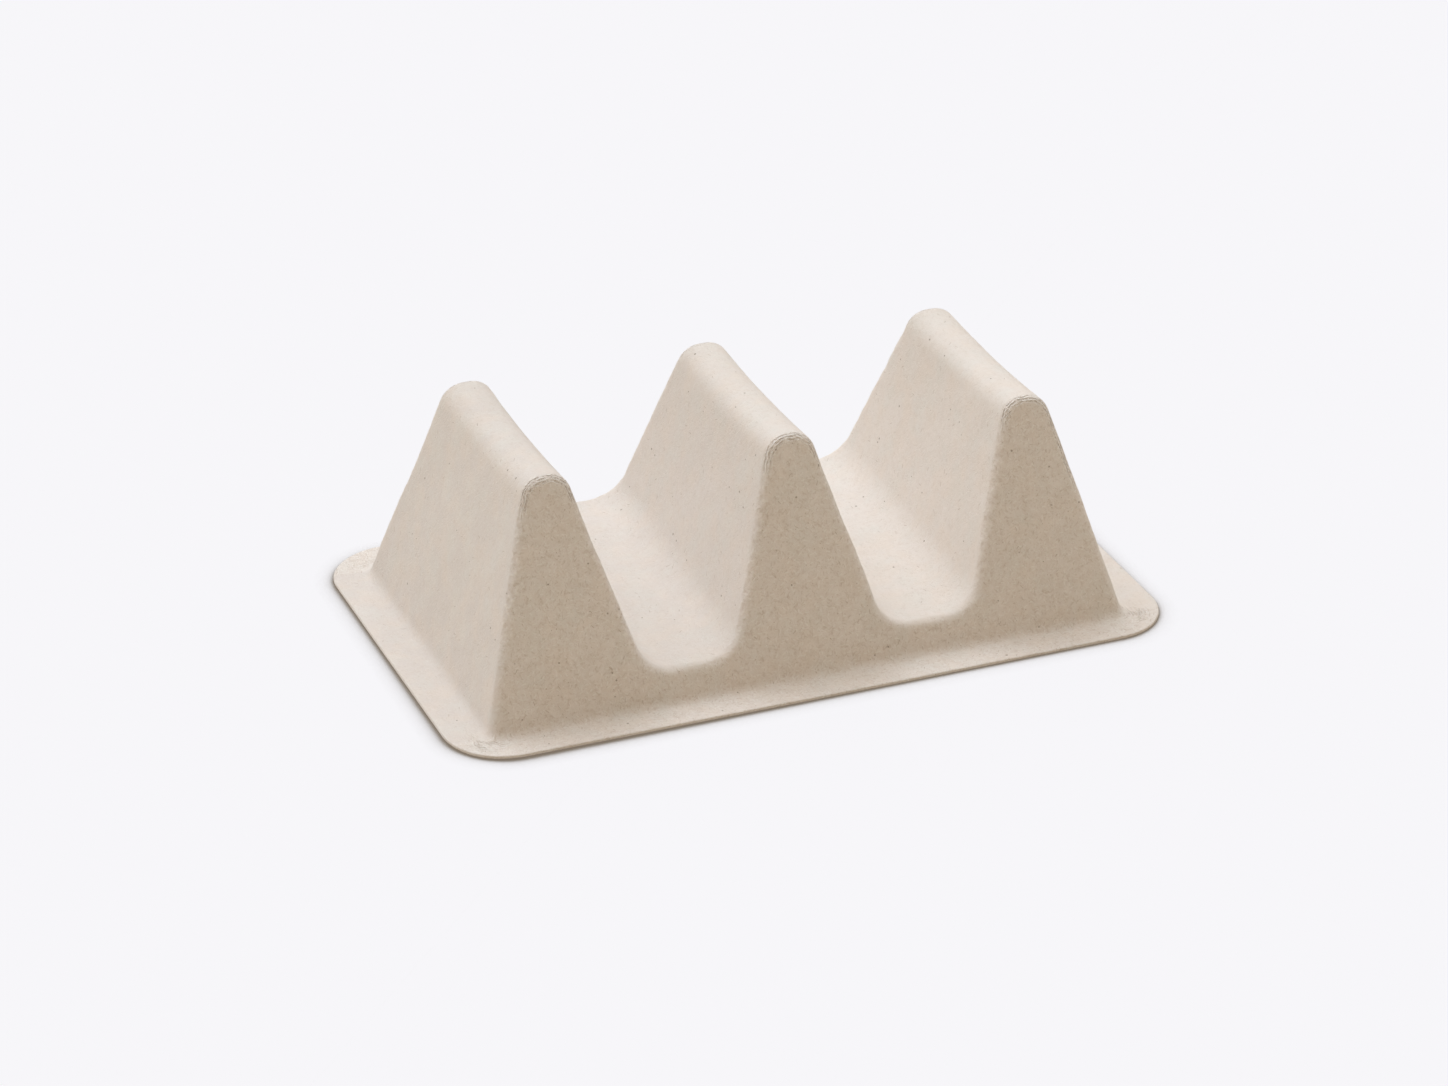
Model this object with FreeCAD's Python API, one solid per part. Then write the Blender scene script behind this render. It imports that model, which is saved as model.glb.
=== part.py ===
"""Molded pulp tray insert: one sheet of paper fibre, formed and pressed over a mould.

A flat flange with rounded corners runs all round. From it rise three equal ridges that
run front to back, with two open grooves between them. The sheet has one thickness
everywhere, so the underside has the same form and is hollow and open below. The floors
of the grooves rise a little towards the back.

Millimetres. +X runs across the ridges, +Y runs along them from front to back, +Z is up.
The origin is at the middle of the flange's underside, on which the insert stands.
"""

import FreeCAD, Part
import math
import os

# The insert as a whole
LENGTH = 200.0  # across the ridges, over the flange
WIDTH = 120.0  # along the ridges, over the flange
HEIGHT = 62.0  # from the flange's underside to the ridge tops
SHEET = 0.8  # the sheet's thickness, the same everywhere

# Flange
FLANGE_MARGIN = 10.8  # from the flange's rim to the foot of the walls
FLANGE_CORNER_RADIUS = 17.0
RIM_RADIUS = 0.3  # the pressed rim's two edges
FOOT_RADIUS = 2.8  # hollow blend from the walls into the flange

# Ridges
RIDGE_COUNT = 3
CREST_WIDTH = 11.2  # between the sloping sides, measured at the top
CREST_RADIUS = 6.5
GROOVE_SIDE_SLOPE = 16.5  # all slopes are degrees away from the vertical
END_WALL_SLOPE = 15.5
LONG_WALL_SLOPE = 17.0  # front and back walls
WALL_EDGE_RADIUS = 2.8  # where the front and back walls meet the ridges and grooves

# Grooves
GROOVE_FLOOR_HEIGHT = 11.0  # halfway along the groove
GROOVE_FLOOR_TILT = 2.1  # degrees off the horizontal; each floor is higher at the back
GROOVE_FLOOR_RADIUS = 9.5

SPARE = 4.0  # how far the solids that shape the sheet run on past its faces
SAME = 1e-4  # lengths that differ by less than this are equal
ARC_SHARE = 0.49  # the most of a side that the arc at one of its ends may take
RIM_SHARE = 0.45  # the most of the rim's thickness that one rounded edge may take
FOOT_HALF_LENGTH = LENGTH / 2 - FLANGE_MARGIN
FOOT_HALF_WIDTH = WIDTH / 2 - FLANGE_MARGIN


def lean(rise, slope):
    """Sideways run of a wall that rises by `rise`, `slope` degrees off the vertical."""
    return rise * math.tan(math.radians(slope))


RISE = HEIGHT - SHEET
END_CREST_OFFSET = FOOT_HALF_LENGTH - lean(RISE, END_WALL_SLOPE) - CREST_WIDTH / 2
RIDGE_PITCH = 2 * END_CREST_OFFSET / (RIDGE_COUNT - 1)


def ridge_corners(ridge):
    """Sharp corners (x, z, radius) of one ridge's section, from its left foot to its right."""
    middle = ridge * RIDGE_PITCH - END_CREST_OFFSET
    left_slope = END_WALL_SLOPE if ridge == 0 else GROOVE_SIDE_SLOPE
    right_slope = END_WALL_SLOPE if ridge == RIDGE_COUNT - 1 else GROOVE_SIDE_SLOPE
    left, right = middle - CREST_WIDTH / 2, middle + CREST_WIDTH / 2
    drop = HEIGHT + SPARE
    return [
        (left - lean(drop, left_slope), -SPARE, 0.0),
        (left, HEIGHT, CREST_RADIUS),
        (right, HEIGHT, CREST_RADIUS),
        (right + lean(drop, right_slope), -SPARE, 0.0),
    ]


def wall_corners():
    """Sharp corners (y, z, radius) of the section along the ridges: the two long walls."""
    foot = FOOT_HALF_WIDTH + lean(SPARE + SHEET, LONG_WALL_SLOPE)
    above = HEIGHT + SPARE
    top = FOOT_HALF_WIDTH - lean(above - SHEET, LONG_WALL_SLOPE)
    return [(-foot, -SPARE, 0.0), (-top, above, 0.0), (top, above, 0.0), (foot, -SPARE, 0.0)]


def inset_corners(corners, inset):
    """Move every side of a closed clockwise outline inwards; radii follow the offset."""
    moved = []
    for i, (u, v, radius) in enumerate(corners):
        before = FreeCAD.Vector(*corners[i - 1][:2])
        here = FreeCAD.Vector(u, v)
        after = FreeCAD.Vector(*corners[(i + 1) % len(corners)][:2])
        side_in = (here - before).normalize()
        side_out = (after - here).normalize()
        inward = [FreeCAD.Vector(side.y, -side.x) for side in (side_in, side_out)]
        shift = (inward[0] + inward[1]) * (inset / (1 + inward[0].dot(inward[1])))
        outer_bend = side_in.cross(side_out).z < 0
        if radius > 0:
            radius += -inset if outer_bend else inset
        moved.append((u + shift.x, v + shift.y, radius))
    return moved


def rounded_wire(corners, place):
    """A closed outline whose corners are rounded by tangent arcs.

    `place` turns an outline point into a point in space. An arc that its two sides are
    too short for gets the largest radius that fits them.
    """
    points = [FreeCAD.Vector(u, v) for u, v, radius in corners]
    starts, middles, ends = [], [], []
    for i, (u, v, radius) in enumerate(corners):
        here, before = points[i], points[i - 1]
        after = points[(i + 1) % len(points)]
        to_before, to_after = before - here, after - here
        half_angle = to_before.getAngle(to_after) / 2
        room = ARC_SHARE * min(to_before.Length, to_after.Length)
        tangent = min(radius / math.tan(half_angle), room)
        to_before.normalize()
        to_after.normalize()
        centre_way = (to_before + to_after).normalize()
        radius = tangent * math.tan(half_angle)
        apex = radius / math.sin(half_angle) - radius
        starts.append(here + to_before * tangent)
        middles.append(here + centre_way * apex)
        ends.append(here + to_after * tangent)
    edges = []
    for i in range(len(points)):
        if (ends[i] - starts[i]).Length > 0:
            edges.append(Part.Arc(place(starts[i]), place(middles[i]), place(ends[i])).toShape())
        following = starts[(i + 1) % len(points)]
        edges.append(Part.LineSegment(place(ends[i]), place(following)).toShape())
    return Part.Wire(edges)


def floor_height(y, inset):
    """Height of the groove floors at `y`, `inset` inside the sheet's outer face."""
    tilt = math.radians(GROOVE_FLOOR_TILT)
    return GROOVE_FLOOR_HEIGHT + y * math.tan(tilt) - inset / math.cos(tilt)


def floor_radius():
    """The radius beside the groove floors, as far as the floors are wide enough for it."""
    drop = HEIGHT - floor_height(-WIDTH / 2, 0.0)
    room = ARC_SHARE * (RIDGE_PITCH - CREST_WIDTH - 2 * lean(drop, GROOVE_SIDE_SLOPE))
    half_angle = math.radians(90 + GROOVE_SIDE_SLOPE) / 2
    return min(GROOVE_FLOOR_RADIUS, room * math.tan(half_angle))


def groove_floors(inset):
    """One block with a tilted top, between the middles of the first and the last ridge."""
    outline = []
    for y in (-WIDTH / 2, WIDTH / 2):
        outline.append(FreeCAD.Vector(-END_CREST_OFFSET, y, floor_height(y, inset)))
    for y in (WIDTH / 2, -WIDTH / 2):
        outline.append(FreeCAD.Vector(-END_CREST_OFFSET, y, inset - SPARE))
    face = Part.Face(Part.makePolygon(outline + outline[:1]))
    return face.extrude(FreeCAD.Vector(2 * END_CREST_OFFSET, 0, 0))


def floor_edges(row, inset):
    """The edges in which the grooves' sides meet their floors."""
    found = []
    for edge in row.Edges:
        on_floor = all(abs(v.Z - floor_height(v.Y, inset)) < SAME for v in edge.Vertexes)
        if on_floor and edge.BoundBox.YLength > WIDTH / 2:
            found.append(edge)
    return found


def ridge_row(inset):
    """The ridges with blended groove floors between, run the whole width of the flange."""
    row = groove_floors(inset)
    for ridge in range(RIDGE_COUNT):
        corners = inset_corners(ridge_corners(ridge), inset)
        wire = rounded_wire(corners, lambda p: FreeCAD.Vector(p.x, -WIDTH / 2, p.y))
        row = row.fuse(Part.Face(wire).extrude(FreeCAD.Vector(0, WIDTH, 0)))
    row = row.removeSplitter()
    return row.makeFillet(floor_radius() + inset, floor_edges(row, inset))


def wall_prism(inset):
    """The taper between the front and back walls, run the whole length of the flange."""
    corners = inset_corners(wall_corners(), inset)
    wire = rounded_wire(corners, lambda p: FreeCAD.Vector(-LENGTH / 2, p.x, p.y))
    return Part.Face(wire).extrude(FreeCAD.Vector(LENGTH, 0, 0))


def wall_edges(body, inset):
    """The edges in which the front and back walls meet the ridges and grooves."""
    sideways = inset / math.cos(math.radians(LONG_WALL_SLOPE))
    found = []
    for edge in body.Edges:
        box = edge.BoundBox
        on_wall = all(
            abs(abs(v.Y) - (FOOT_HALF_WIDTH - lean(v.Z - SHEET, LONG_WALL_SLOPE) - sideways)) < SAME
            for v in edge.Vertexes
        )
        one_wall = box.YMin > 0 or box.YMax < 0
        if on_wall and one_wall and box.ZMax > 0:
            found.append(edge)
    return found


def near_rim(edge, margin):
    """Whether an edge comes within `margin` of the flange's outline."""
    box = edge.BoundBox
    reach_x = max(abs(box.XMin), abs(box.XMax))
    reach_y = max(abs(box.YMin), abs(box.YMax))
    return reach_x > LENGTH / 2 - margin or reach_y > WIDTH / 2 - margin


def foot_edges(block, seat):
    """The edges in which the walls meet the flat block that carries them."""
    found = []
    for edge in block.Edges:
        box = edge.BoundBox
        at_seat = abs(box.ZMin - seat) < SAME and abs(box.ZMax - seat) < SAME
        if at_seat and not near_rim(edge, FLANGE_MARGIN / 2):
            found.append(edge)
    return found


def walled_block(inset, flat):
    """The ridged body, `inset` inside the sheet's outer face, blended into a flat block."""
    body = ridge_row(inset).common(wall_prism(inset))
    body = body.makeFillet(WALL_EDGE_RADIUS - inset, wall_edges(body, inset))
    block = body.fuse(flat).removeSplitter()
    seat = flat.BoundBox.ZMax
    return block.makeFillet(FOOT_RADIUS + inset, foot_edges(block, seat))


def rim_radius():
    """The radius of the rim's two edges, as far as the sheet is thick enough for it."""
    return min(RIM_RADIUS, RIM_SHARE * SHEET)


def flange_block():
    """The flange's outline with rounded corners and a rounded upper rim."""
    block = Part.makeBox(LENGTH, WIDTH, SPARE + SHEET, FreeCAD.Vector(-LENGTH / 2, -WIDTH / 2, -SPARE))
    upright = [e for e in block.Edges if e.BoundBox.ZLength > SHEET]
    block = block.makeFillet(FLANGE_CORNER_RADIUS, upright)
    rim = [e for e in block.Edges if e.BoundBox.ZMin > 0]
    return block.makeFillet(rim_radius(), rim)


def hollow_floor():
    """The space below the flange, wider than the flange all round."""
    length, width = LENGTH + 2 * SPARE, WIDTH + 2 * SPARE
    return Part.makeBox(length, width, 2 * SPARE, FreeCAD.Vector(-length / 2, -width / 2, -2 * SPARE))


def tray_insert():
    """The formed sheet: the outer block with the same form, one sheet smaller, taken away."""
    outer = walled_block(0.0, flange_block())
    inner = walled_block(SHEET, hollow_floor())
    sheet = outer.cut(inner)
    lower_rim = [e for e in sheet.Edges if abs(e.BoundBox.ZMax) < SAME and near_rim(e, SAME)]
    return sheet.makeFillet(rim_radius(), lower_rim)


os.makedirs("parts", exist_ok=True)
tray_insert().exportStep("parts/tray_insert.step")
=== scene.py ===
import math

import bpy
import numpy as np
from mathutils import Matrix, Vector


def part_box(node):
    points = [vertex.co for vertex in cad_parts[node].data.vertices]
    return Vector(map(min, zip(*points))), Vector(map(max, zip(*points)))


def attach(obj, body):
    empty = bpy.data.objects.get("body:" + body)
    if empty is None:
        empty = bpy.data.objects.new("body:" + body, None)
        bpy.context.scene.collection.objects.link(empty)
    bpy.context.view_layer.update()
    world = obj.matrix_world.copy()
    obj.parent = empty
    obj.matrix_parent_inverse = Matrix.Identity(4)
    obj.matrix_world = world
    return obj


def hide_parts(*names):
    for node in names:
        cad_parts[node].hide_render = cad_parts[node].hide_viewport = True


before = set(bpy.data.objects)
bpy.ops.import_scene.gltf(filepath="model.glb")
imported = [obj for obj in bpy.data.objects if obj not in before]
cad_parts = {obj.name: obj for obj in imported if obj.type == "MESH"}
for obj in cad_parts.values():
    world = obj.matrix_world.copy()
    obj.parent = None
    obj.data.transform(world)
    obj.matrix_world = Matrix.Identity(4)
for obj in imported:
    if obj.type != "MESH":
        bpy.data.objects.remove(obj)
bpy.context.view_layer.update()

# --- The formed sheet ----------------------------------------------------------------------
# One layer of paper fibre, drawn from a slurry onto a wire mould and pressed dry between
# heated tools. Flange, ridges and grooves are one piece, and the underside follows the upper
# face one sheet's thickness below it. The rim is trimmed after pressing. Sizes are in metres.
low, high = (np.array(corner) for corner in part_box("tray_insert"))
HALF_LENGTH, HALF_WIDTH, HEIGHT = high
SHEET = 0.0008
FLANGE_MARGIN = 0.0108  # from the rim to the foot of the walls
FLANGE_CORNER = 0.017
RIM_RADIUS = 0.0003
FOOT_RADIUS = 0.0028  # hollow blend from the walls into the flange
CREST_WIDTH = 0.0112  # between the sloping sides, at the top of a ridge
CREST_RADIUS = 0.0065
GROOVE_FLOOR = 0.011  # height of the groove floors, halfway along
FLOOR_TILT = math.tan(math.radians(2.1))  # and how much they rise towards the back
FLOOR_RADIUS = 0.0095
EDGE_RADIUS = 0.0028  # where the long walls meet the ridges and grooves
GROOVE_SLOPE, END_SLOPE, LONG_SLOPE = (math.tan(math.radians(off)) for off in (16.5, 15.5, 17.0))

FOOT_X = HALF_LENGTH - FLANGE_MARGIN
FOOT_Y = HALF_WIDTH - FLANGE_MARGIN
PITCH = FOOT_X - (HEIGHT - SHEET) * END_SLOPE - CREST_WIDTH / 2


def corner(a, b, cosine):
    """Distance outside the corner of two faces, from the distances a and b outside each.

    It is the larger of the two beside a face, and the distance to the line where the faces
    meet past both of them. The cosine is that of the angle between their outward normals.
    """
    line = np.sqrt(np.maximum(a * a + b * b - 2 * a * b * cosine, 0) / (1 - cosine * cosine))
    past_both = (a > b * cosine) & (b > a * cosine)
    return np.where(past_both, line, np.maximum(a, b))


def rounded(a, b, cosine, radius):
    """An outer edge: the corner of the faces moved in by the radius, moved out again."""
    return corner(a + radius, b + radius, cosine) - radius


def hollow(a, b, cosine, radius):
    """An inner edge: the same rounding with inside and outside exchanged."""
    return -rounded(-a, -b, cosine, radius)


def ridges(x, y, z):
    """Distance outside the ridges and grooves.

    Each ridge is a rounded top between two sloping sides, and a hollow blend joins it to the
    tilted groove floor. Plan length is folded at the pitch, so that both grooves are alike,
    and past the outer ridges the side has the end walls' slope and runs down with no floor.
    """
    past_ends = np.abs(x) > PITCH
    folded = np.abs((x + PITCH / 2) % PITCH - PITCH / 2)
    across = np.where(past_ends, np.abs(x) - PITCH, folded)
    slope = np.where(past_ends, END_SLOPE, GROOVE_SLOPE)
    square = 1 / np.sqrt(1 + slope * slope)
    side = ((across - CREST_WIDTH / 2) + (z - HEIGHT) * slope) * square
    ridge = rounded(side, z - HEIGHT, slope * square, CREST_RADIUS)
    above_floor = z - GROOVE_FLOOR - y * FLOOR_TILT
    grooved = hollow(ridge, above_floor, slope * square, FLOOR_RADIUS)
    return np.where(past_ends, ridge, grooved)


def long_walls(y, z):
    """Distance outside the front and back walls."""
    return (np.abs(y) - FOOT_Y + (z - SHEET) * LONG_SLOPE) / math.hypot(1, LONG_SLOPE)


def upper_face(x, y, z):
    """Distance outside the sheet's upper face.

    The ridges are cut off by the two long walls with a rounded edge, whose angle follows how
    steep the ridge is there, and a hollow blend joins the walls to the flange.
    """
    probe = 1e-5
    section = ridges(x, y, z)
    steep = (ridges(x, y, z + probe) - section) / probe
    square = 1 / math.hypot(1, LONG_SLOPE)
    walls = rounded(section, long_walls(y, z), steep * LONG_SLOPE * square, EDGE_RADIUS)
    return hollow(walls, z - SHEET, LONG_SLOPE * square, FOOT_RADIUS)


def upper_height(x, y, halvings=34):
    """Height of the upper face over plan points: a range that holds it is halved repeatedly."""
    under, over = np.zeros(x.shape), np.full(x.shape, HEIGHT)
    for halving in range(halvings):
        middle = (under + over) / 2
        outside = upper_face(x, y, middle) > 0
        under, over = np.where(outside, under, middle), np.where(outside, middle, over)
    return over


def upper_normal(x, y, z):
    """Outward unit normals: how the distance changes along each axis, scaled to length 1."""
    probe = 2e-6
    change = [
        upper_face(x + dx, y + dy, z + dz) - upper_face(x - dx, y - dy, z - dz)
        for dx, dy, dz in np.eye(3) * probe
    ]
    normal = np.stack(change, axis=-1)
    return normal / np.linalg.norm(normal, axis=-1, keepdims=True)


def plan_grid(columns, length_rows, wall_rows, flange_rows, samples=6001):
    """Plan points (x, y) of the grid, as two arrays of columns by rows.

    Columns stand at equal steps of the section's own length plus its plan length. The rows of
    a column are shared out evenly within five strips, which end at the rim, just outside the
    walls' foot and just inside the walls' upper edge, so that rows run along every edge.
    """
    x = np.linspace(RIM_RADIUS - HALF_LENGTH, HALF_LENGTH - RIM_RADIUS, samples)
    z = upper_height(x, np.zeros_like(x))
    steps = np.hypot(np.diff(x), np.diff(z)) + np.diff(x)
    walked = np.concatenate([[0], np.cumsum(steps)])
    x = np.interp(np.linspace(0, walked[-1], columns), walked, x)
    section_height = upper_height(x, np.zeros_like(x))
    inner = FOOT_Y - (section_height - SHEET) * LONG_SLOPE - EDGE_RADIUS
    outer = np.full_like(x, FOOT_Y + FOOT_RADIUS)
    rim = np.full_like(x, HALF_WIDTH - RIM_RADIUS)
    strips = [
        np.linspace(-rim, -outer, flange_rows, endpoint=False),
        np.linspace(-outer, -inner, wall_rows, endpoint=False),
        np.linspace(-inner, inner, length_rows, endpoint=False),
        np.linspace(inner, outer, wall_rows, endpoint=False),
        np.linspace(outer, rim, flange_rows + 1),
    ]
    y = np.concatenate(strips).T
    return np.repeat(x[:, None], y.shape[1], axis=1), y


def draw_in_corners(x, y):
    """Plan points with the square corners of the flange drawn in to round ones.

    Within a corner's square each side is shortened as the other is followed outwards, by the
    square root of one less half the square of the way along it, which ends on the circle.
    """
    radius = FLANGE_CORNER - RIM_RADIUS
    core_x, core_y = HALF_LENGTH - FLANGE_CORNER, HALF_WIDTH - FLANGE_CORNER
    along_x = np.clip((np.abs(x) - core_x) / radius, 0, 1)
    along_y = np.clip((np.abs(y) - core_y) / radius, 0, 1)
    moved_x = np.abs(x) - radius * along_x * (1 - np.sqrt(1 - along_y**2 / 2))
    moved_y = np.abs(y) - radius * along_y * (1 - np.sqrt(1 - along_x**2 / 2))
    return np.sign(x) * moved_x, np.sign(y) * moved_y


def ripples(points, shortest, longest, count, seed):
    """Uneven relief, mostly from -1 to 1: sine waves that run in random directions.

    Their sum is divided by the root of their count, so that more waves keep its strength.
    """
    rng = np.random.default_rng(seed)
    heading = rng.normal(size=(3, count))
    heading /= np.linalg.norm(heading, axis=0)
    number = 2 * np.pi / rng.uniform(shortest, longest, count)
    phase = rng.uniform(0, 2 * np.pi, count)
    return np.sin(points @ (heading * number) + phase).sum(axis=-1) / math.sqrt(count)


def outside_foot(x, y):
    """Plan distance outside the walls' foot, which is a plain rectangle."""
    return np.hypot(np.maximum(np.abs(x) - FOOT_X, 0), np.maximum(np.abs(y) - FOOT_Y, 0))


def near_foot_corner(x, y, fade_along=0.006, fade_in=0.0015, reach=0.0075, fade_out=0.003):
    """1 on the flange by a corner of the walls' foot, fading to 0 along the foot and outwards."""
    along = np.minimum(np.abs(x) - FOOT_X, np.abs(y) - FOOT_Y)
    out = outside_foot(x, y)
    by_corner = np.clip(1 + along / fade_along, 0, 1)
    return by_corner * np.clip(out / fade_in, 0, 1) * np.clip((reach - out) / fade_out, 0, 1)


CURL = 0.0007  # how far the rim dries up off the table at most


def curl(x, y):
    """Rise of the flange: the square of the way out to the rim, times an unevenness.

    The unevenness is two cosines of the bearing added to a mean: one turn and three turns.
    """
    way_out = np.clip(outside_foot(x, y) / FLANGE_MARGIN, 0, 1)
    bearing = np.arctan2(y / HALF_WIDTH, x / HALF_LENGTH)
    unevenness = 0.55 - 0.3 * np.cos(bearing) + 0.15 * np.cos(3 * bearing + 1)
    return CURL * way_out**2 * unevenness


SETTLE = 0.029  # how much lower the right ridge dries than the left one, as a share
SAG = 0.0013  # how much lower a crest dries halfway along than at its ends
PAST_RIDGE = 1.25  # the share goes on growing past the right ridge, which is at 1, to here


def settle(x, y, z):
    """Height after drying: less a share of the height, and less the sag of the crests.

    The share grows from the left ridge to the right one as the square of the way between
    them. The sag is a parabola along the crest, and grows as the cube of the height.
    """
    way_right = np.clip((x / PITCH + 1) / 2, 0, PAST_RIDGE)
    crest_end = FOOT_Y - (HEIGHT - SHEET) * LONG_SLOPE
    along = np.clip(y / crest_end, -1, 1)
    share = SETTLE * way_right**2
    return z - (z - SHEET) * share - SAG * (z / HEIGHT) ** 3 * (1 - along**2)


PANEL_WAVE, SURFACE_WAVE, EDGE_WAVE = 0.00015, 0.00005, 0.00010  # heights of the uneven relief
EDGE_REACH = 0.0025  # the edge's relief fades out this far inside the edge
WALL_FADE = 0.0012  # the long walls' finish fades out this far behind their faces
MM = 1000.0  # the attributes of the mesh and its material count in millimetres


def from_edge(x, y, z):
    """How far a point of the upper face is from the edge between ridges and long walls.

    The point lies on one of the two, so this is how deep it is inside the other.
    """
    return np.maximum(-ridges(x, y, z), -long_walls(y, z))


def dry(x, y, z, normal):
    """Points of the upper face after drying: uneven relief, then the settling and the curl.

    The relief fades out towards the flange and towards the top of the crests.
    """
    smooth = np.stack([x, y, z], axis=-1)
    near_edge = np.clip(1 - from_edge(x, y, z) / EDGE_REACH, 0, 1)
    relief = (
        PANEL_WAVE * ripples(smooth, shortest=0.025, longest=0.07, count=24, seed=3)
        + SURFACE_WAVE * ripples(smooth, shortest=0.006, longest=0.014, count=48, seed=5)
        + EDGE_WAVE * near_edge * ripples(smooth, shortest=0.0025, longest=0.005, count=64, seed=7)
    )
    free = np.clip((z - SHEET) / FOOT_RADIUS, 0, 1) * np.clip((HEIGHT - z) / CREST_RADIUS, 0, 1)
    dried = smooth + normal * (relief * free)[..., None]
    dried[..., 2] = settle(x, y, dried[..., 2]) + curl(x, y)
    return dried


def round_edge(grid):
    """The outermost points of a grid, in order round its edge."""
    return np.concatenate([grid[:-1, 0], grid[-1, :-1], grid[:0:-1, -1], grid[0, :0:-1]])


def rim_rings(edge):
    """Rings of points that go down the rim from the edge of the upper face.

    The rim's upper and lower edges are quarter circles in steps of 30 degrees, with a
    straight band between them, and the last step would be the edge of the underside.
    """
    core = np.array([HALF_LENGTH - FLANGE_CORNER, HALF_WIDTH - FLANGE_CORNER])
    outwards = edge[:, :2] - np.clip(edge[:, :2], -core, core)
    outwards /= np.linalg.norm(outwards, axis=1, keepdims=True)
    band = SHEET - 2 * RIM_RADIUS
    rings = []
    for degrees, lower in ((30, 0), (60, 0), (90, 0), (90, band), (120, band), (150, band)):
        angle = math.radians(degrees)
        ring = edge.copy()
        ring[:, :2] += outwards * (RIM_RADIUS * math.sin(angle))
        ring[:, 2] -= RIM_RADIUS * (1 - math.cos(angle)) + lower
        rings.append(ring)
    return np.stack(rings)


def grid_faces(index):
    """Four-sided faces between the neighbours of a grid of point numbers."""
    sides = [index[:-1, :-1], index[1:, :-1], index[1:, 1:], index[:-1, 1:]]
    return np.stack(sides, axis=-1).reshape(-1, 4)


def band_faces(above, below):
    """Four-sided faces between two rings of point numbers."""
    return np.stack([below, np.roll(below, -1), np.roll(above, -1), above], axis=-1)


def sheet_faces(upper, under, rings):
    """Faces over the point numbers of the upper face, the underside and the rim's rings.

    The underside has only every second point, so the faces that close it onto the last ring
    have five corners: two on the underside and three on the ring.
    """
    loops = [round_edge(upper), *rings]
    faces = [grid_faces(upper), grid_faces(under)[:, ::-1]]
    faces += [band_faces(above, below) for above, below in zip(loops[:-1], loops[1:])]
    edge, last = round_edge(under), loops[-1]
    closing = [edge, np.roll(edge, -1), np.roll(last, -2)[::2], last[1::2], last[::2]]
    faces.append(np.stack(closing, axis=-1))
    return [face for group in faces for face in group.tolist()]


def point_values(x, y, z, ring_count):
    """What the finish follows, by name, for each point of the upper face, underside and rim."""
    on_upper = {
        "past_fold": (long_walls(y, z) - ridges(x, y, z)) * MM,
        "edge_distance": from_edge(x, y, z) * MM,
        "on_long_wall": np.clip(1 + long_walls(y, z) / WALL_FADE, 0, 1),
        "foot_distance": outside_foot(x, y) * MM,
        "foot_corner": near_foot_corner(x, y),
        "underside": np.zeros_like(x),
        "trimmed": np.zeros_like(x),
    }
    values = {}
    for name, upper_values in on_upper.items():
        under_values = upper_values[::2, ::2].ravel() + (name == "underside")
        rim_values = np.tile(round_edge(upper_values), ring_count) + (name == "trimmed")
        values[name] = np.concatenate([upper_values.ravel(), under_values, rim_values])
    return values


def pressed_sheet(columns=361, length_rows=70, wall_rows=50, flange_rows=9):
    """Points, faces and point values of the whole sheet as one closed surface.

    The upper face is a grid over the plan. The underside is every second point of that grid
    moved one sheet's thickness back along its normal, and rings round the rim close the two.
    """
    x, y = draw_in_corners(*plan_grid(columns, length_rows, wall_rows, flange_rows))
    z = upper_height(x, y)
    normal = upper_normal(x, y, z)
    upper = dry(x, y, z, normal)
    under = (upper - normal * SHEET)[::2, ::2]
    rings = rim_rings(round_edge(upper))

    numbers, count = [], 0
    for part in (upper, under, rings):
        rows, length = part.shape[:2]
        numbers.append(count + np.arange(rows * length).reshape(rows, length))
        count += rows * length
    points = np.concatenate([part.reshape(-1, 3) for part in (upper, under, rings)])
    return points, sheet_faces(*numbers), point_values(x, y, z, len(rings))


points, polygons, finish_values = pressed_sheet()
mesh = bpy.data.meshes.new("pulp_sheet")
mesh.from_pydata(points, [], polygons)
mesh.shade_smooth()
for name, values in finish_values.items():
    layer = mesh.attributes.new(name, "FLOAT", "POINT")
    layer.data.foreach_set("value", values.astype(np.float32))
sheet = bpy.data.objects.new("pulp_sheet", mesh)
bpy.context.scene.collection.objects.link(sheet)
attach(sheet, "root")
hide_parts("tray_insert")


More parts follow.
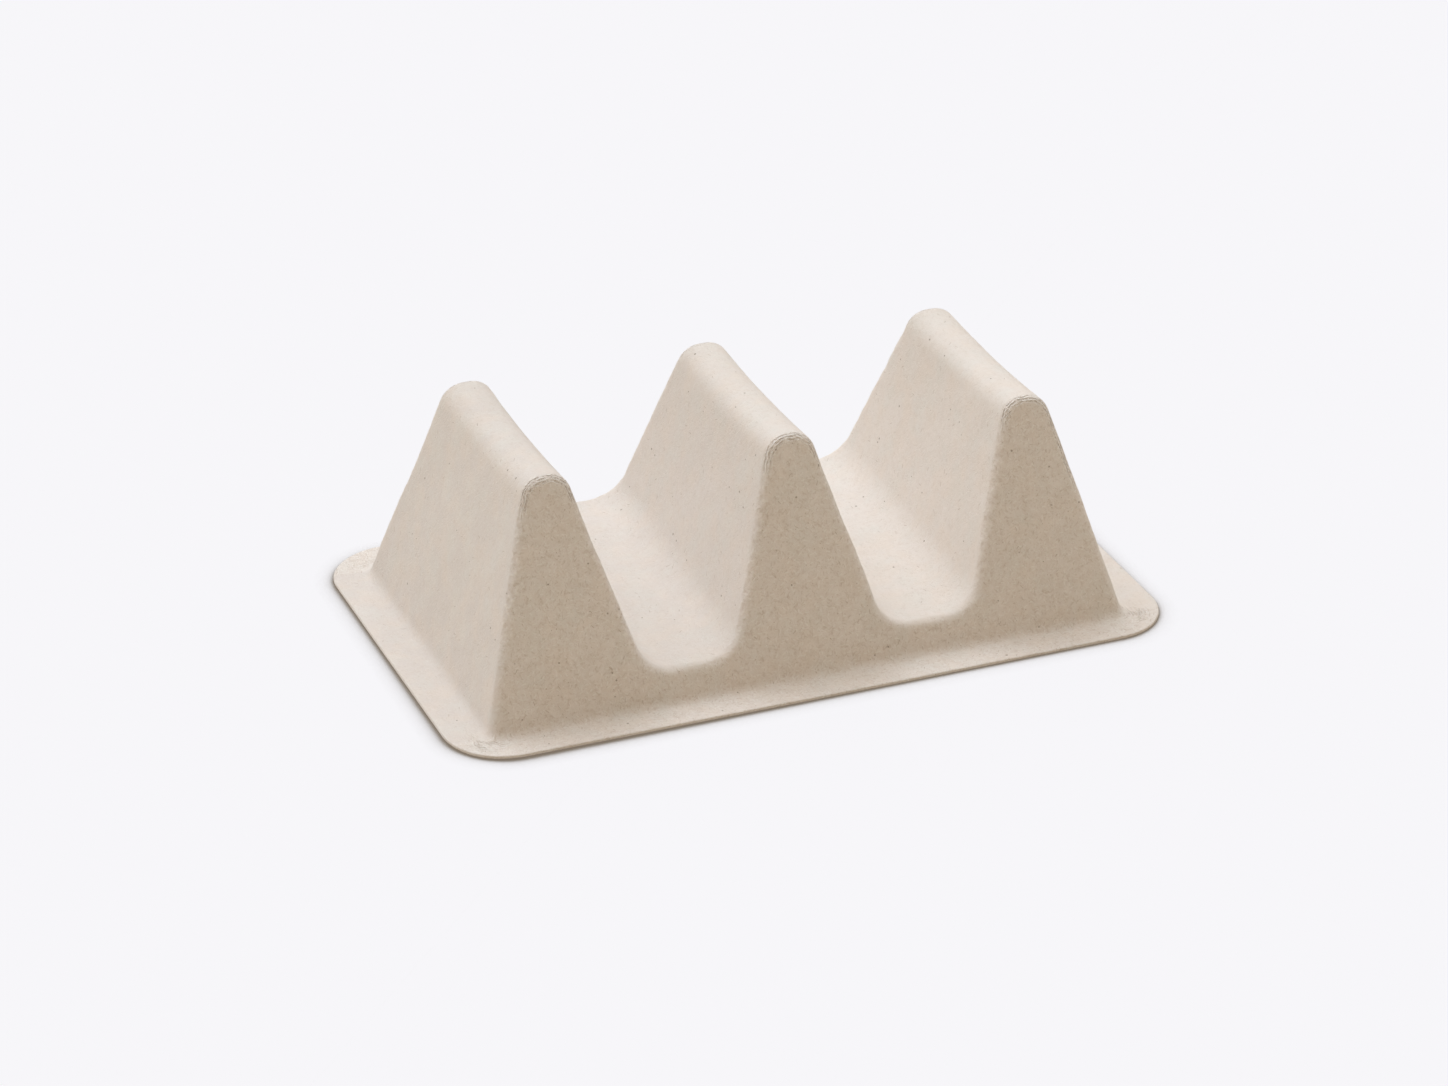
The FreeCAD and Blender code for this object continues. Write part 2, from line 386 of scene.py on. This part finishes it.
# The finish is bare felted pulp: bleached and brown fibres that lie every way in the sheet,
# some specks of bark and ink, soft clouds where the slurry settled thicker, and fine pleats
# where the wet sheet was drawn together at the ends of the crests and at the foot's corners.
class Signal:
    """A socket of a material. Sums and products of signals add Math nodes to the material."""

    def __init__(self, tree, socket=None):
        self.tree, self.socket = tree, socket

    def node(self, kind, inputs=(), output=0, **settings):
        """Add a node: first its settings, then its input values or signals."""
        made = self.tree.nodes.new("ShaderNode" + kind)
        for name, value in settings.items():
            setattr(made, name, value)
        for name, value in dict(inputs).items():
            if isinstance(value, Signal):
                self.tree.links.new(value.socket, made.inputs[name])
            else:
                made.inputs[name].default_value = value
        return Signal(self.tree, made.outputs[output])

    def math(self, operation, *values):
        return self.node("Math", enumerate(values), operation=operation)

    def __add__(self, other):
        return self.math("ADD", self, other)

    def __sub__(self, other):
        return self.math("SUBTRACT", self, other)

    def __rsub__(self, other):
        return self.math("SUBTRACT", other, self)

    def __mul__(self, other):
        return self.math("MULTIPLY", self, other)

    __radd__, __rmul__ = __add__, __mul__

    def step(self, start, end):
        """0 before the start, 1 after the end, and a smooth rise between; either way round."""
        inputs = {"Value": self, "From Min": start, "From Max": end}
        return self.node("MapRange", inputs, interpolation_type="SMOOTHSTEP")

    def vector(self, operation, *values):
        return self.node("VectorMath", enumerate(values), operation=operation)

    def dot(self, other):
        """The dot product of two vectors, such as how far a place lies along a direction."""
        return self.node("VectorMath", {0: self, 1: other}, "Value", operation="DOT_PRODUCT")

    def noise(self, scale, detail=2.0, output="Fac", **inputs):
        """Noise over this signal as a place in millimetres, so that scale is per millimetre."""
        inputs = {"Vector": self, "Scale": scale, "Detail": detail, **inputs}
        return self.node("TexNoise", inputs, output)

    def cells(self, size, output="Distance"):
        """Scattered cells: how far off the middle is, in mean sizes, or its place or a lot."""
        return self.node("TexVoronoi", {"Vector": self, "Scale": 1 / size}, output)

    def blend(self, one, other):
        """A colour from one to the other as this signal goes from 0 to 1."""
        factor, first, second, result = 0, 6, 7, 2  # the colours' sockets among the Mix node's
        inputs = {factor: self, first: one, second: other}
        return self.node("Mix", inputs, result, data_type="RGBA")


ACROSS, ALONG, UP = (1.0, 0.0, 0.0), (0.0, 1.0, 0.0), (0.0, 0.0, 1.0)


def fibres(place, normal, spacing, length, width, share):
    """Loose fibres in the sheet's plane: a straight line in some cells of a scattered pattern.

    The offset from the cell's middle and the cell's random direction are laid flat on the
    surface. The fibre is where the offset is short across that direction, and ends where it
    is longer than half the fibre's length along it. The share is that of cells with a fibre.
    """
    bend, taper = (0.8, 0.8, 0.8), 0.3  # how far a line wanders, and its fading ends
    bent = place.vector("MULTIPLY_ADD", place.noise(0.5, 1.0, "Color"), bend, place)
    middle = bent.cells(spacing, "Position")
    chance = bent.cells(spacing, "Color")
    offset = bent.vector("SUBTRACT", bent, middle)
    centred = chance.vector("SUBTRACT", chance, (0.5, 0.5, 0.5))
    heading = centred.vector("NORMALIZE", centred.vector("CROSS_PRODUCT", centred, normal))
    along = offset.dot(heading)
    across = offset.dot(heading.vector("CROSS_PRODUCT", heading, normal))
    narrow = across.math("ABSOLUTE", across).step(width, 0.0)
    short = along.math("ABSOLUTE", along).step(length / 2, length / 2 - taper)
    lot = chance.dot(ACROSS)
    return narrow * short * lot.math("LESS_THAN", lot, share)


def specks(place, spacing, radius):
    """Round specks: the middles of scattered cells, out to a radius that varies by cell."""
    soft_edge = 0.06
    size = place.cells(spacing, "Color").dot((radius, 0.0, 0.0))
    return (size - place.cells(spacing) * spacing).step(0.0, soft_edge)


def pleats(distance, place, spacing, wander):
    """Fine pleats: the sine of a distance in millimetres, which wanders by smooth noise."""
    shift = place.noise(0.45, 2.0) * wander
    wave = (distance + shift) * (2 * math.pi / spacing)
    return wave.math("SINE", wave)


THIN_PULP, THICK_PULP = (0.848, 0.796, 0.753, 1), (0.869, 0.818, 0.775, 1)
# painted shade: the ridges' ends and slopes drawn darker towards the left, where less light falls
LEFT_END_SHADE = (0.735, 0.685, 0.655, 1)
WARM_PULP, COOL_PULP = (0.872, 0.780, 0.700, 1), (0.810, 0.805, 0.768, 1)
DULL_FLOC, PALE_FLOC = (0.775, 0.705, 0.645, 1), (0.93, 0.88, 0.83, 1)
DULL_GRAIN, PALE_GRAIN = (0.69, 0.61, 0.54, 1), (0.93, 0.90, 0.87, 1)
SMUDGE = (0.56, 0.46, 0.38, 1)
BROWN_FIBRE, BLEACHED_FIBRE = (0.50, 0.40, 0.31, 1), (0.95, 0.92, 0.88, 1)
BARK, FAINT_SPECK, DARK_SPECK = (0.33, 0.23, 0.15, 1), (0.40, 0.29, 0.20, 1), (0.25, 0.18, 0.12, 1)
# painted shade in the pleats' folds and painted highlight on their ridges, over their real relief
PLEAT_SHADE, PLEAT_HIGHLIGHT = (0.46, 0.36, 0.27, 1), (1.0, 0.97, 0.93, 1)
# painted shade on the sides of the lumps and in the curls, painted highlight on the lumps' tops
LUMP_SHADE, LUMP_HIGHLIGHT = (0.50, 0.39, 0.29, 1), (0.97, 0.93, 0.88, 1)
# painted shade: the rim face drawn darker
RIM_SHADE = (0.42, 0.38, 0.34, 1)


def pulp_finish():
    """Base colour and bump of the pulp, all over places and distances in millimetres."""
    material = bpy.data.materials.new("pressed_pulp")
    material.use_nodes = True
    tree = material.node_tree
    shader = tree.nodes["Principled BSDF"]
    start = Signal(tree)
    coordinates = start.node("TexCoord", output="Object")
    normal = start.node("TexCoord", output="Normal")
    place = coordinates.node("VectorMath", {0: coordinates, "Scale": MM}, operation="SCALE")
    # The same places moved, so that the patterns over them are unlike.
    second = place.vector("ADD", place, (37.0, 11.0, 23.0))
    third = place.vector("ADD", place, (71.0, 53.0, 5.0))

    def attribute(name):
        """A number that the mesh carries at each point."""
        return start.node("Attribute", output="Fac", attribute_name=name)

    past_fold, edge, foot = map(attribute, ("past_fold", "edge_distance", "foot_distance"))
    long_wall, below = attribute("on_long_wall"), attribute("underside")
    across, along, height = place.dot(ACROSS), place.dot(ALONG), place.dot(UP)

    # The felt. Most marks are stronger on the long walls, and the extra strength there is painted
    # shade and highlight, for light that rakes the walls' fibre relief.
    marks_and_wall_shade = long_wall * 1.5 + 1.0
    clouds = place.noise(0.07, 3.0).step(0.3, 0.7)
    # painted shade, growing towards the left end, off the long walls
    left = across.step(45.0, -75.0)
    warm = second.noise(0.13, 3.0).step(0.40, 0.68)
    cool = third.noise(0.12, 3.0).step(0.42, 0.70)
    flocs = place.noise(0.55, 3.0, Roughness=0.6)
    smudge = third.noise(0.8, 2.0).step(0.58, 0.72)
    grain = place.noise(2.4, 3.0, Roughness=0.75)
    dents = fibres(place, normal, spacing=1.8, length=1.4, width=0.26, share=0.45)
    strands = fibres(second, normal, spacing=1.5, length=1.3, width=0.25, share=0.60)
    fine = fibres(third, normal, spacing=1.0, length=0.9, width=0.18, share=0.50)
    bark = fibres(second, normal, spacing=3.6, length=1.4, width=0.14, share=0.10)
    dark_specks = specks(place, spacing=3.6, radius=0.36)
    faint_specks = specks(second, spacing=1.5, radius=0.22)

    # Pleats and lumps where the wet sheet was drawn tight over an edge or into a corner: in
    # the fold at the crests' ends, further down on the right ridge, by the foot's corners on
    # the flange, more at the front, and along the walls' upper edges.
    # The dark and light colours laid on these below are painted shade and highlight; the relief
    # itself goes into the bump.
    broken = second.noise(0.4, 2.0).step(0.42, 0.58)
    dotted = third.noise(1.2, 1.0).step(0.38, 0.56)
    in_fold = past_fold.step(-2.2, -1.2) * past_fold.step(2.2, 1.0)
    crest_end = in_fold * (height + across.step(62.0, 72.0) * 18.0).step(50.0, 57.0)
    pleat = pleats(past_fold, place, spacing=1.05, wander=1.5) * crest_end * dotted
    at_corner = attribute("foot_corner") * broken * (along.step(45.0, -45.0) * 0.7 + 0.3)
    curls = pleats(foot, place, spacing=0.95, wander=1.9) * at_corner
    lump = (second.noise(0.8, 2.0) - 0.5) * edge.step(3.4, 1.2) * height.step(5.0, 20.0)

    # Colour: each tint is laid over the ones before it by its own amount.
    colour = clouds.blend(THIN_PULP, THICK_PULP)
    for amount, tint in (
        # painted shade at the left end
        (left * (1.0 - long_wall) * 0.62, LEFT_END_SHADE),
        (warm * 0.40, WARM_PULP),
        (cool * 0.40, COOL_PULP),
        (flocs.step(0.4, 0.75) * marks_and_wall_shade * 0.28, DULL_FLOC),
        (flocs.step(0.45, 0.25) * marks_and_wall_shade * 0.15, PALE_FLOC),
        (smudge * marks_and_wall_shade * 0.13, SMUDGE),
        (grain.step(0.45, 0.8) * marks_and_wall_shade * 0.15, PALE_GRAIN),
        (grain.step(0.5, 0.2) * marks_and_wall_shade * 0.18, DULL_GRAIN),
        (dents * marks_and_wall_shade * 0.11, BROWN_FIBRE),
        (fine * marks_and_wall_shade * 0.09, BROWN_FIBRE),
        (strands * (long_wall * 0.50 + 0.18), BLEACHED_FIBRE),
        (bark * 0.50, BARK),
        (faint_specks * marks_and_wall_shade * 0.18, FAINT_SPECK),
        (dark_specks * 0.62, DARK_SPECK),
        # painted shade and painted highlight of the pleats
        (pleat.step(-0.30, -0.90) * 0.36, PLEAT_SHADE),
        (pleat.step(0.05, 0.70), PLEAT_HIGHLIGHT),
        # painted shade in the curls and on the lumps' sides, painted highlight on the lumps' tops
        (curls.step(0.1, -0.8) * 0.35, LUMP_SHADE),
        (lump.step(-0.05, -0.16) * 0.20, LUMP_SHADE),
        (lump.step(0.04, 0.16) * 0.50, LUMP_HIGHLIGHT),
        # painted shade on the rim face
        (attribute("trimmed") * 0.15, RIM_SHADE),
    ):
        colour = amount.blend(colour, tint)

    # Relief in millimetres. The side that lay on the wire mould is coarser.
    relief = flocs * 0.10 + grain * 0.08 + strands * 0.030 + fine * 0.018 - dents * 0.030
    relief = relief * (long_wall * 0.8 + below * 1.5 + 1.0)
    relief = relief + pleat * 0.16 + curls * 0.13 + lump * 0.35
    relief = relief - dark_specks * 0.10 - faint_specks * 0.05
    bump = relief.node("Bump", {"Height": relief, "Distance": 1 / MM, "Strength": 1.0})
    tree.links.new(colour.socket, shader.inputs["Base Color"])
    tree.links.new(bump.socket, shader.inputs["Normal"])
    shader.inputs["Roughness"].default_value = 0.82
    shader.inputs["Sheen Weight"].default_value = 0.3
    shader.inputs["Sheen Roughness"].default_value = 0.5
    return material


mesh.materials.append(pulp_finish())

# --- Floor, light and camera ---------------------------------------------------------------
# The insert stands on a plain pale floor under a soft overhead light from a little behind it,
# with weak light from both sides.
FAR = 6.0  # half the floor's side
floor_mesh = bpy.data.meshes.new("floor")
floor_corners = [(-FAR, -FAR, 0), (FAR, -FAR, 0), (FAR, FAR, 0), (-FAR, FAR, 0)]
floor_mesh.from_pydata(floor_corners, [], [(0, 1, 2, 3)])
floor = bpy.data.objects.new("floor", floor_mesh)
bpy.context.scene.collection.objects.link(floor)


FLOOR_PAINT = (0.76, 0.71, 0.64, 1)
FLOOR_GLOW, SHADE_GLOW = (0.937, 0.932, 0.962, 1), (0.22, 0.18, 0.14, 1)
SHADE_REACH = 0.0055  # how far the contact shade reaches from the insert
SHADE_SIDE = (0.85, 0.42, 0.15)  # the shade falls on the side that this points away from
GLOW_SHARE = 0.96  # of what the camera sees of the floor


def floor_paint():
    """Plain paint, which the camera sees nearly white but for the shade close to the insert.

    The shade is the share of open sky within reach, made 9 per cent more so that the
    faintest shade goes, to the seventh power.
    """
    material = bpy.data.materials.new("floor_paint")
    material.use_nodes = True
    tree = material.node_tree
    start = Signal(tree)
    paint = tree.nodes["Principled BSDF"]
    paint.inputs["Base Color"].default_value = FLOOR_PAINT
    paint.inputs["Roughness"].default_value = 1.0
    reach = {"Distance": SHADE_REACH, "Normal": SHADE_SIDE}
    open_sky = start.node("AmbientOcclusion", reach, "AO", samples=6)
    shade = open_sky.math("POWER", open_sky * 1.09, 7.0)
    colour = shade.blend(SHADE_GLOW, FLOOR_GLOW)
    glow = colour.node("Emission", {"Color": colour})
    share = start.node("LightPath", output="Is Camera Ray") * GLOW_SHARE
    mixed = share.node("MixShader", {0: share, 1: Signal(tree, paint.outputs[0]), 2: glow})
    tree.links.new(mixed.socket, tree.nodes["Material Output"].inputs["Surface"])
    return material


floor_mesh.materials.append(floor_paint())

WORLD_COLOUR, WORLD_STRENGTH = (1.256, 1.0, 0.698, 1), 0.316
LAMP_COLOUR, LAMP_ANGLE = (0.92, 1.0, 1.10), math.radians(60)
world = bpy.data.worlds.new("room")
bpy.context.scene.world = world
world.use_nodes = True
background = world.node_tree.nodes["Background"]
background.inputs["Color"].default_value = WORLD_COLOUR
background.inputs["Strength"].default_value = WORLD_STRENGTH

for name, towards, strength in (
    ("overhead", (0, 0.6, 0.8), 0.421),
    ("left_side", (-0.4, 0.45, 0.8), 0.267),
    ("right_side", (0.6, 0, 0.8), 0.120),
):
    lamp = bpy.data.lights.new(name, "SUN")
    lamp.energy = strength * math.pi
    lamp.color = LAMP_COLOUR
    lamp.angle = LAMP_ANGLE
    lamp_object = bpy.data.objects.new(name, lamp)
    lamp_object.rotation_euler = Vector(towards).to_track_quat("Z", "Y").to_euler()
    bpy.context.scene.collection.objects.link(lamp_object)

AIM, DISTANCE = Vector((-0.00640, -0.00160, 0.01755)), 1.22587
AZIMUTH, ELEVATION, ROLL = math.radians(-22.285), math.radians(27.675), math.radians(0.24)
SENSOR, LENS = 36, 115.198
back = Vector((
    math.sin(AZIMUTH) * math.cos(ELEVATION),
    -math.cos(AZIMUTH) * math.cos(ELEVATION),
    math.sin(ELEVATION),
))
level = Vector((math.cos(AZIMUTH), math.sin(AZIMUTH), 0))
upright = back.cross(level)
right = level * math.cos(ROLL) + upright * math.sin(ROLL)
up = upright * math.cos(ROLL) - level * math.sin(ROLL)
turned = Matrix((right, up, back)).transposed().to_4x4()
camera_data = bpy.data.cameras.new("camera")
camera_data.sensor_width = SENSOR
camera_data.lens = LENS
camera = bpy.data.objects.new("camera", camera_data)
bpy.context.scene.collection.objects.link(camera)
camera.matrix_world = Matrix.Translation(AIM + back * DISTANCE) @ turned
bpy.context.scene.camera = camera
bpy.context.scene.view_settings.view_transform = "Standard"
